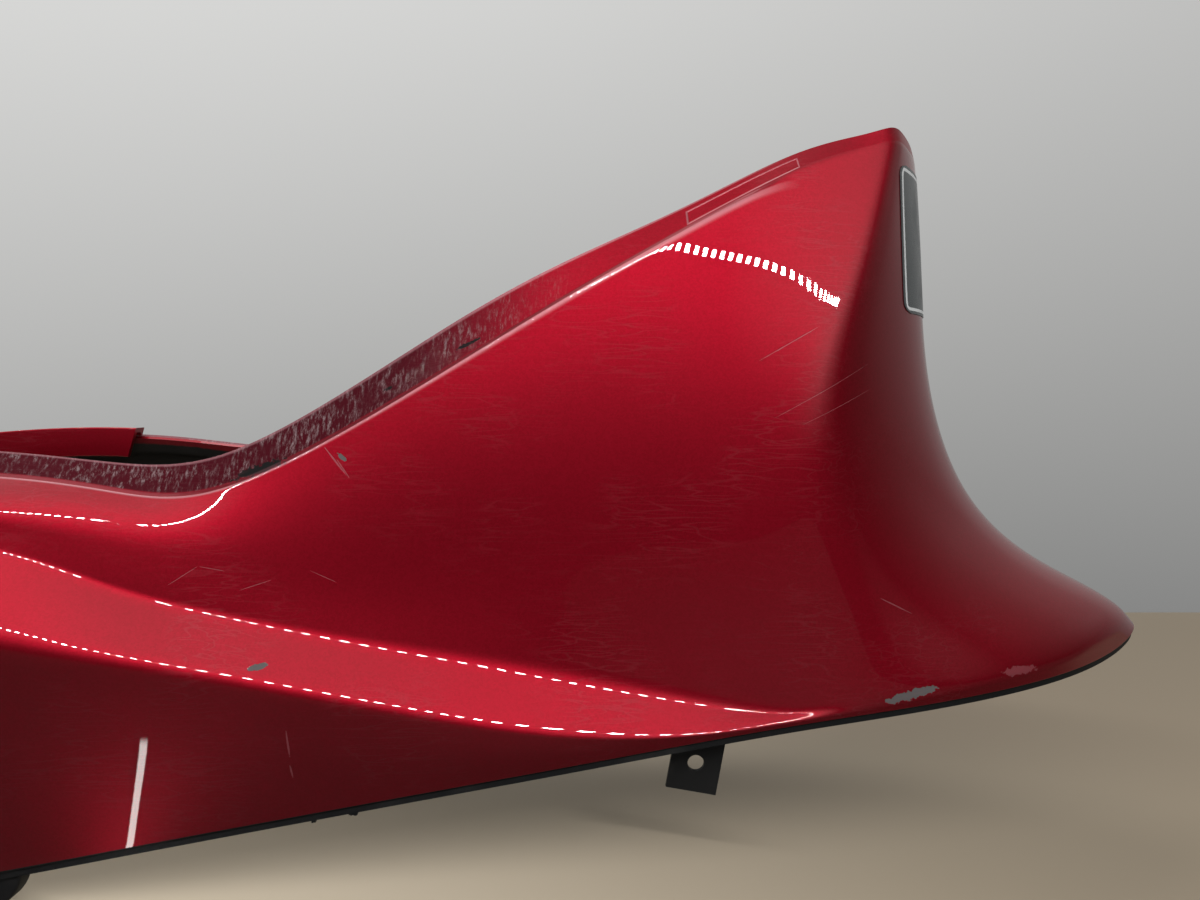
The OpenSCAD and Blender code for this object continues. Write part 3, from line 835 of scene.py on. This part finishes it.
@dataclass
class Finishes:
    """The materials that the pieces share."""

    paint: bpy.types.Material
    plastic: bpy.types.Material
    film: bpy.types.Material
    tab: bpy.types.Material
    screw: bpy.types.Material

    @classmethod
    def make(cls) -> "Finishes":
        """Build all materials once."""
        return cls(
            CandyPaint().make(),
            MouldedPlastic().make(),
            LabelFilm().make(),
            Steel("black_coated_steel", (0.004, 0.004, 0.004), (0.022, 0.019, 0.017), 0.0, 0.5).make(),
            Steel("zinc_steel", (0.45, 0.45, 0.44), (0.25, 0.24, 0.22), 1.0, 0.32).make(),
        )


@dataclass
class Moulding:
    """The one-piece shell: painted outside, black inside, with its bare lip."""

    surface: Surface
    columns: int = 385
    rounds: int = 4
    coarse: int = 2

    def draft(self) -> Draft:
        """Join the outer and inner grids into one closed skin.

        Returns:
            The mesh, with finish 0 on the paint and finish 1 on the bare plastic.
        """
        t = np.linspace(0, self.surface.end, self.columns)
        outer = self.surface.outer(t, self.rounds)
        inner = self.surface.inner(t, self.rounds - self.coarse)
        many, few = outer.shape[1], inner.shape[1]
        ratio = 2**self.coarse
        down_outer = np.arange(many)[None, :] / 2**self.rounds
        down_inner = np.arange(few)[None, :] / 2 ** (self.rounds - self.coarse)
        way = t[:, None]
        mesh = Draft("shell_moulding")
        base_out = mesh.add_points(outer, way=way, down=down_outer, overspray=np.zeros((1, 1)))
        base_in = mesh.add_points(inner, way=way, down=-1 - down_inner, overspray=1 - ease(down_inner, 0.1, 0.6))
        quads = grid_quads(self.columns, many, base_out)
        bare = quads[:, 0] % many >= Row.LIP * 2**self.rounds
        mesh.add_faces(quads[~bare], 0)
        mesh.add_faces(quads[bare], 1)
        mesh.add_faces(grid_quads(self.columns, few, base_in), 1, flip=True)
        i = np.arange(self.columns)
        mesh.add_faces(strip_quads(base_out + i * many, base_in + i * few), 0)
        mesh.add_faces(strip_quads(base_out + i * many + many - 1, base_in + i * few + few - 1), 1, flip=True)
        j = np.arange(few - 1)[:, None]
        fan = np.arange(ratio, -1, -1)[None, :]
        for column, flip in ((0, False), (self.columns - 1, True)):
            ends = np.hstack([base_in + column * few + j, base_in + column * few + j + 1,
                              base_out + column * many + j * ratio + fan])
            mesh.add_faces(ends, 1, flip=flip)
        return mesh

    def build(self, finishes: Finishes) -> bpy.types.Object:
        """Make the moulding's object, which stands for the shell's solid."""
        piece = self.draft().write([finishes.paint, finishes.plastic], "painted_shell", 50)
        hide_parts("tail_shell")
        return piece


@dataclass
class RimStrip:
    """Painted strip folded over the front of the seat rim, hanging inside it."""

    surface: Surface
    height: float = 16.0
    thick: float = 2.5
    rise: float = 4.0
    inset: float = 7.0
    from_front: float = 174.0
    slant: float = 5.0
    bite: float = 0.4
    sink: float = 0.6
    round_by: float = 0.9
    stations: int = 90

    def profile(self) -> np.ndarray:
        """Rounded outline of the fold as (inward, up, share of the slant)."""
        low, far, under = self.rise - self.height, self.inset + self.thick, self.rise - self.thick
        root = self.surface.wall - self.bite
        corners = np.array([[self.bite, -self.sink], [self.bite, self.rise], [far, self.rise], [far, low],
                            [self.inset, low], [self.inset, under], [root, under], [root, -self.sink]])
        outline = rounded(corners, self.round_by, 4)
        return np.column_stack([outline, np.clip((self.rise - outline[:, 1]) / self.height, 0, 1)])

    def build(self, finishes: Finishes, right: bool) -> bpy.types.Object:
        """Sweep the outline along the rim.

        Args:
            finishes: the materials.
            right: true for the right arm.

        Returns:
            The strip's object.
        """
        stop = self.surface.way_at(-self.surface.length / 2 + self.from_front, Guide.RIM)
        s = np.linspace(0, stop, self.stations)
        t = self.surface.end - s if right else s
        p, v = self.surface.guide(Guide.RIM, t)[:, None], self.surface.inward(Guide.RIM, t)[:, None]
        q = self.profile()
        share = (s / stop)[:, None] ** 6
        points = p + v * q[None, :, :1]
        points[..., 2] += q[None, :, 1]
        points[..., 0] -= self.slant * q[None, :, 2] * share
        name = "rim_strip_right" if right else "rim_strip_left"
        mesh = Draft(name)
        base = mesh.add_points(points, way=t[:, None], down=np.full((1, 1), -3.0))
        around = len(q)
        mesh.add_faces(grid_quads(self.stations, around, base, closed_rows=True), 0, flip=right)
        ring = np.arange(around)[None, :]
        mesh.add_faces(base + ring, 0, flip=not right)
        mesh.add_faces(base + (self.stations - 1) * around + ring, 0, flip=right)
        return mesh.write([finishes.paint], "painted_shell")


def plate(name: str, outline: np.ndarray, thick: float, round_by: float, to_place: np.ndarray, at: np.ndarray) -> Draft:
    """Flat plate with rounded edges: rings of its outline, drawn in at both faces along a quarter circle.

    Args:
        name: name of the mesh.
        outline: anticlockwise outline (n, 2) round its own origin.
        thick: thickness.
        round_by: radius of the edges.
        to_place: three rows, the directions of the outline's two axes and of the thickness.
        at: place of the outline's origin on the lower face.

    Returns:
        The plate as a draft.
    """
    a = np.linspace(0, np.pi / 2, 5)
    drawn = np.concatenate([1 - np.sin(a), (1 - np.sin(a))[::-1]]) * round_by
    up = np.concatenate([(1 - np.cos(a)) * round_by, thick - ((1 - np.cos(a)) * round_by)[::-1]])
    centre = outline.mean(0)
    away = outline - centre
    unit = away / np.linalg.norm(away, axis=1, keepdims=True)
    rings = outline[None] - unit[None] * drawn[:, None, None]
    local = np.concatenate([rings, np.broadcast_to(up[:, None, None], (*rings.shape[:2], 1))], -1)
    mesh = Draft(name)
    base = mesh.add_points(local @ to_place + at, overspray=np.zeros((1, 1)))
    n, m = rings.shape[:2]
    mesh.add_faces(grid_quads(n, m, base, closed_rows=True), 0)
    ring = np.arange(m)[None, :]
    mesh.add_faces(base + ring[:, ::-1], 0)
    mesh.add_faces(base + (n - 1) * m + ring, 0)
    return mesh


@dataclass
class FrontLugs:
    """Rounded locating lugs moulded under the front of each arm."""

    surface: Surface
    radius: float = 16.0
    thick: float = 8.0
    reach: float = 15.0
    from_front: float = 184.0
    seat: float = 1.5
    rise: float = 10.0
    round_by: float = 1.2

    def build(self, finishes: Finishes) -> list[bpy.types.Object]:
        """Make both lugs."""
        x = -self.surface.length / 2 + self.from_front
        half, edge = self.surface.edge(x)
        z = edge - self.reach + self.radius
        face = half - self.surface.lip_in - self.surface.wall + self.seat
        a = np.linspace(np.pi, 2 * np.pi, 41)
        arc = np.column_stack([np.cos(a), np.sin(a)]) * self.radius
        outline = np.vstack([arc, [[self.radius, self.rise], [-self.radius, self.rise]]])
        pieces = []
        for side, name in ((-1, "front_lug_left"), (1, "front_lug_right")):
            axes = np.array([[-side, 0, 0], [0, 0, 1], [0, side, 0]], float)
            origin = np.array([x, side * (face - self.thick), z])
            draft = plate(name, outline, self.thick, self.round_by, axes, origin)
            pieces.append(draft.write([finishes.plastic], "painted_shell"))
        return pieces


@dataclass
class TabBosses:
    """Moulded tubes between each rear tab and the side wall, which take the screws."""

    surface: Surface
    width: float = 9.0
    bore: float = 4.2
    depth: float = 5.5
    gap: float = 11.0
    up: float = 38.0
    length: float = 5.5
    from_tip: float = 218.0
    drop: float = 15.0
    lean: float = 10.0
    chamfer: float = 0.3
    hub: float = 0.01
    facets: int = 48

    def build(self, finishes: Finishes) -> list[bpy.types.Object]:
        """Turn each tube round its own axis: an outer wall, a mouth with a small chamfer and a blind bore."""
        x = self.surface.length / 2 - self.from_tip
        z = self.surface.edge(x)[1] - self.drop
        c, s = math.cos(math.radians(self.lean)), math.sin(math.radians(self.lean))
        rims = [(x + u * c + v * s, z - u * s + v * c) for u in (-self.gap / 2, self.gap / 2)
                for v in (self.up - self.width / 2, self.up + self.width / 2)]
        start = min(self.surface.side(*rim) for rim in rims) - self.surface.wall - self.length
        pieces = []
        for side, word in ((-1, "left"), (1, "right")):
            for number, u in enumerate((-self.gap / 2, self.gap / 2)):
                at = (x + u * c + self.up * s, z - u * s + self.up * c)
                wall = self.surface.side(*at) - self.surface.wall / 2
                outer, hole, cut, bottom = self.width / 2, self.bore / 2, self.chamfer, start + self.depth
                line = np.array([[self.hub, bottom], [hole, bottom], [hole, start + cut], [hole + cut, start],
                                 [outer - cut, start], [outer, start + cut], [outer, wall], [self.hub, wall]])
                a = np.linspace(0, 2 * np.pi, self.facets + 1)[:-1]
                points = np.stack([at[0] + line[None, :, 0] * np.cos(a)[:, None],
                                   side * np.broadcast_to(line[None, :, 1], (len(a), len(line))),
                                   at[1] + line[None, :, 0] * np.sin(a)[:, None]], -1)
                mesh = Draft(f"tab_boss_{word}_{number + 1}")
                base = mesh.add_points(points, overspray=np.zeros((1, 1)))
                quads = grid_quads(len(a) + 1, len(line), base)
                quads = (quads - base) % (len(a) * len(line)) + base
                mesh.add_faces(quads, 0, flip=side > 0)
                ends = base + np.arange(len(a))[None, :] * len(line)
                mesh.add_faces(ends, 0, flip=side < 0)
                mesh.add_faces(ends + len(line) - 1, 0, flip=side > 0)
                pieces.append(mesh.write([finishes.plastic], "painted_shell"))
        return pieces


@dataclass
class ClipStumps:
    """Stumps of two clips that broke off under the left lip."""

    surface: Surface
    places: tuple[Span, ...] = ((316.0, 1.6), (331.5, 3.4))
    thick: float = 2.0
    inset: float = 2.5
    drop: float = 1.2
    root: float = 2.2
    round_by: float = 0.15

    def build(self, finishes: Finishes) -> list[bpy.types.Object]:
        """Make both stumps as plates with a torn lower edge."""
        pieces = []
        for number, (from_front, wide) in enumerate(self.places):
            x = -self.surface.length / 2 + from_front
            half, edge = self.surface.edge(x)
            low = -self.surface.lip_height - self.drop
            u = np.linspace(-0.5, 0.5, 9) * wide
            torn = low + 0.35 * np.sin(u * 4.1 + number) + 0.2 * np.sin(u * 9.7)
            torn = np.maximum(torn, low)
            top = low + self.root
            outline = np.vstack([np.column_stack([u, torn]), [[wide / 2, top], [-wide / 2, top]]])
            axes = np.array([[1, 0, 0], [0, 0, 1], [0, -1, 0]], float)
            origin = np.array([x, -half + self.surface.lip_in + self.inset, edge])
            draft = plate(f"clip_stump_{number + 1}", outline, self.thick, self.round_by, axes, origin)
            pieces.append(draft.write([finishes.plastic], "painted_shell"))
        return pieces


@dataclass
class Label:
    """Bare film that follows the rear wall round both corners."""

    surface: Surface
    gap: float = 1.5
    narrow: float = 13.0
    height: float = 62.0
    thick: float = 0.3
    clear: float = 0.1
    down: float = 14.5
    corner: float = 5.0
    corner_way: float = 12.0
    wall_from: float = 11.5
    wall_rows: tuple[int, int] = (16, 100)
    columns: int = 121
    rows: int = 61

    def build(self, finishes: Finishes) -> bpy.types.Object:
        """Lay a grid with rounded corners on the wall.

        At each height the wall's x is read between the sections for the wanted y. In the corners a row gets
        shorter by r - sqrt(r^2 - d^2), with d the depth of the row in the corner.

        Returns:
            The film's object, which stands for the film's solid.
        """
        top = self.surface.height - self.down
        sections = self.surface.outer(np.linspace(self.wall_from, self.surface.last, 91), 4)[:, slice(*self.wall_rows)]
        g = np.linspace(0, 1, self.rows)
        f = np.linspace(-1, 1, self.columns)
        r = self.corner
        deep = np.clip(r - np.minimum(g, 1 - g) * self.height, 0, r)
        corner = -self.surface.guide(Guide.SHOULDER, np.array([self.corner_way]))[0, 1]
        half = corner - self.gap - self.narrow / 2 * g - (r - np.sqrt(r * r - deep * deep))
        y = f[:, None] * half[None, :]
        x = np.empty_like(y)
        for row, z in enumerate(top - g * self.height):
            at = np.array([[np.interp(-z, -p[:, 2], p[:, 0]), np.interp(-z, -p[:, 2], -p[:, 1])] for p in sections])
            x[:, row] = np.interp(np.abs(y[:, row]), at[::-1, 1], at[::-1, 0])
        z = np.broadcast_to((top - g * self.height)[None, :], y.shape)
        flat = np.stack([x, y, z], -1)
        n = np.cross(np.gradient(flat, axis=1), np.gradient(flat, axis=0))
        n /= np.linalg.norm(n, axis=2, keepdims=True)
        n *= np.where(n[..., :1] < 0, -1, 1)
        edge = np.minimum(half[None, :] - np.abs(y), np.minimum(g, 1 - g)[None, :] * self.height)
        mesh = Draft("label_print")
        front = mesh.add_points(flat + n * (self.clear + self.thick), edge_away=edge)
        back = mesh.add_points(flat + n * self.clear, edge_away=np.zeros((1, 1)))
        quads = grid_quads(self.columns, self.rows)
        mesh.add_faces(quads + front, 0)
        mesh.add_faces(quads + back, 0, flip=True)
        i, j = np.arange(self.columns), np.arange(self.rows)
        for line, flip in ((i * self.rows, False), (i * self.rows + self.rows - 1, True),
                           (j, True), ((self.columns - 1) * self.rows + j, False)):
            mesh.add_faces(strip_quads(front + line, back + line), 0, flip=flip)
        piece = mesh.write([finishes.film], "label", 40)
        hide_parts("label_film")
        return piece


@dataclass
class Fixings:
    """Flat steel tabs and their screws, whose solids are shown with new finishes."""

    def build(self, finishes: Finishes) -> list[bpy.types.Object]:
        """Give the tabs and screws their finishes."""
        dressed = []
        for name, material in (("rear_tab", finishes.tab), ("tab_screws", finishes.screw)):
            for word in ("left", "right"):
                piece = bpy.data.objects[f"{name}_{word}"]
                piece.data.materials.clear()
                piece.data.materials.append(material)
                dressed.append(piece)
        return dressed


# ---- studio ----


@dataclass
class Studio:
    """Table top, backdrop colour, lamps and the camera of the photograph.

    The camera sees pale walls and a sand-coloured table. Mirror-like rays see a dark room in front of the part, as
    the clear coat did, with a glow from the ceiling and the far right.
    """

    eye: Colour = (0.08547, -0.433, 0.209)
    pitch: float = 3.5
    lens: float = 27.0
    sensor: float = 36.0
    table_back: float = 0.424
    table_front: float = -1.7
    table_half: float = 1.9
    table_below: float = 0.0004
    table_colour: Colour = (0.86, 0.73, 0.54)
    table_stain: Colour = (0.90, 0.775, 0.60)
    table_painted_shade: Colour = (0.33, 0.265, 0.187)
    table_shade: Colour = (0.035, 0.029, 0.024)
    streak_x: float = -112.0
    streak_y: float = -108.0
    streak_lean: float = 0.22
    streak_level: float = 11.0
    room_level: float = 0.3
    ceiling_level: float = 0.85
    side_level: float = 1.0
    tail_level: float = 0.7

    def camera(self) -> None:
        """Put the camera where the photograph was taken from, looking along +Y and a little down."""
        data = bpy.data.cameras.new("camera")
        data.lens = self.lens
        data.sensor_width = self.sensor
        data.clip_start, data.clip_end = 0.01, 50
        camera = bpy.data.objects.new("camera", data)
        camera.location = self.eye
        camera.rotation_euler = (math.radians(90 - self.pitch), 0, 0)
        bpy.context.scene.collection.objects.link(camera)
        bpy.context.scene.camera = camera

    def table(self) -> None:
        """Lay the table top under the part, with painted shade towards the right and the streak of lamp light that its
        lower face mirrors.
        """
        g = Graph("table_top")
        x, y = g.axis(g.mm, 0), g.axis(g.mm, 1)
        mottled = g.plus(g.times(g.noise(g.mm, 0.008, 3.0, 0.5), 0.7), g.times(g.noise(g.mm, 0.12, 2.0, 0.5), 0.3))
        pale = g.blend(mottled, self.table_colour, self.table_stain)
        # Painted shade: the table gets darker towards the right.
        pale = g.blend(g.ease(x, -350, 450), pale, self.table_painted_shade)
        glossy = g.ray("Glossy")
        mirrored = g.most(glossy, g.ray("Transmission"))
        seen = g.most(g.ray("Camera"), g.times(mirrored, g.ease(y, -120, -40)))
        line = g.minus(g.minus(x, self.streak_x), g.times(g.minus(y, self.streak_y), self.streak_lean))
        across = g.math("DIVIDE", g.math("ABSOLUTE", line), g.ease(y, -200, -120, 2.1, 1.6))
        streak = g.times(g.ease(across, 0.7, 1.1, 1, 0), g.ease(y, -206, -194), g.ease(y, -112, -106, 1, 0))
        material = g.finish({
            "Base Color": g.blend(seen, self.table_shade, pale),
            "Roughness": 0.6,
            "Emission Color": (1.0, 0.98, 0.95),
            "Emission Strength": g.times(streak, glossy, self.streak_level),
        })
        half, z = self.table_half, -self.table_below
        corners = [(-half, self.table_front, z), (half, self.table_front, z),
                   (half, self.table_back, z), (-half, self.table_back, z)]
        self.stand("table_top", corners, [(0, 1, 2, 3)], material)

    def world(self) -> None:
        """Pale grey backdrop for the camera and for reflections, with painted shade towards the bottom and the right,
        and a softer light for matt surfaces.

        Each level is a product of ramps along the direction's three coordinates.
        """
        world = bpy.data.worlds.new("backdrop")
        bpy.context.scene.world = world
        world.use_nodes = True
        g = Nodes(world.node_tree)
        place = g.node("ShaderNodeTexCoord", {}, "Generated")
        x, y, z = (g.axis(place, k) for k in range(3))
        camera = g.ray("Camera")
        # Painted shade on the backdrop: darker towards the bottom and towards the right.
        pale = g.times(g.ramp(z, -0.3, 0.5, 0.23, 0.74), g.ramp(x, -0.6, 0.8, 1.08, 0.76))
        behind = g.times(g.ramp(y, -0.2, 0.5, 0.05, 1.0), g.ramp(x, 0.1, 0.5, 1.0, 0.85))
        beyond = g.times(g.ramp(x, 0.45, 0.8, 0.0, self.tail_level), g.ramp(y, -0.6, 0.0), g.ramp(z, -0.05, 0.3))
        ceiling = g.times(g.ramp(z, 0.50, 0.85, 0.0, self.ceiling_level), g.ramp(x, -0.7, 0.5, 1.0, 0.35))
        side = g.times(g.ramp(x, 0.15, 0.5, 0.0, self.side_level), g.ramp(y, -0.85, -0.5, 1.0, 0.0),
                       g.ramp(z, 0.0, 0.35))
        glow = g.times(g.plus(ceiling, side), g.minus(1.0, camera))
        shown = g.plus(g.times(pale, g.most(camera, behind, beyond)), glow)
        seen_by = g.most(camera, g.ray("Glossy"), g.ray("Transmission"))
        level = g.between(seen_by, self.room_level, shown)
        back = g.node("ShaderNodeBackground", {"Color": (1.0, 1.0, 0.985), "Strength": level})
        g.end_in("ShaderNodeOutputWorld", back)

    @staticmethod
    def stand(name: str, points: list, faces: list, material: bpy.types.Material) -> None:
        """Make a flat mesh of the surroundings from points in metres."""
        mesh = bpy.data.meshes.new(name)
        mesh.from_pydata(points, [], faces)
        mesh.materials.append(material)
        thing = bpy.data.objects.new(name, mesh)
        bpy.context.scene.collection.objects.link(thing)

    @staticmethod
    def soft_lamp(name: str, place: Colour, aim: Colour, size: Span, power: float) -> None:
        """Add a flat soft lamp.

        Args:
            name: the lamp's name.
            place: its middle.
            aim: the point that it faces.
            size: its width and height.
            power: its power in watts.
        """
        data = bpy.data.lights.new(name, "AREA")
        data.shape = "RECTANGLE"
        data.size, data.size_y = size
        data.energy = power
        lamp = bpy.data.objects.new(name, data)
        away = np.array(place) - np.array(aim)
        away = away / np.linalg.norm(away)
        across = np.cross([0, 0, 1], away)
        across = across / np.linalg.norm(across)
        rows = np.array([across, np.cross(away, across), away]).T
        lamp.matrix_world = Matrix([[*rows[0], place[0]], [*rows[1], place[1]], [*rows[2], place[2]], [0, 0, 0, 1]])
        bpy.context.scene.collection.objects.link(lamp)

    def dotted_lamp(self, name: str, start: Colour, stop: Colour, pitch: float, size: Span,
                    level: float) -> None:
        """Add a strip of small lamps whose row shows in the clear coat.

        Args:
            name: the strip's name.
            start: one end.
            stop: the other end.
            pitch: distance between the lamps.
            size: length and height of each lamp.
            level: brightness of each lamp.
        """
        a, b = np.array(start), np.array(stop)
        length = np.linalg.norm(b - a)
        along = (b - a) / length
        face = np.array([0.0, 0.0, 0.12]) - (a + b) / 2
        face -= face @ along * along
        face /= np.linalg.norm(face)
        up = np.cross(face, along)
        middle = a + along * np.arange(pitch / 2, length, pitch)[:, None]
        corners = np.array([[-1, -1], [1, -1], [1, 1], [-1, 1]]) * np.array(size) / 2
        points = middle[:, None] + corners[None, :, :1] * along + corners[None, :, 1:] * up
        glow = bpy.data.materials.new(name)
        glow.use_nodes = True
        g = Nodes(glow.node_tree)
        g.end_in("ShaderNodeOutputMaterial", g.node("ShaderNodeEmission", {"Strength": level}))
        self.stand(name, points.reshape(-1, 3).tolist(), np.arange(4 * len(middle)).reshape(-1, 4).tolist(), glow)

    def build(self) -> None:
        """Set up the camera, the table, the backdrop and the lamps."""
        self.camera()
        self.table()
        self.world()
        self.dotted_lamp("lamp_strip", (-1.7, -1.25, 1.55), (0.86, -1.25, 0.83), 0.028, (0.012, 0.028), 238)
        self.soft_lamp("soft_top", (-0.3, 0.5, 1.7), (0.0, 0.1, 0.1), (1.2, 0.8), 6)
        bpy.context.scene.view_settings.view_transform = "Standard"


def main() -> None:
    """Build the studio and the pieces in order, and report each piece."""
    logging.basicConfig(level=logging.INFO, format="%(message)s")
    Studio().build()
    finishes = Finishes.make()
    surface = Surface()
    strip = RimStrip(surface)
    made = [
        Moulding(surface).build(finishes),
        strip.build(finishes, False),
        strip.build(finishes, True),
        *FrontLugs(surface).build(finishes),
        *TabBosses(surface).build(finishes),
        *ClipStumps(surface).build(finishes),
        Label(surface).build(finishes),
        *Fixings().build(finishes),
    ]
    for piece in made:
        LOG.info("%s: %d faces", piece.name, len(piece.data.polygons))


if __name__ == "__main__":
    main()
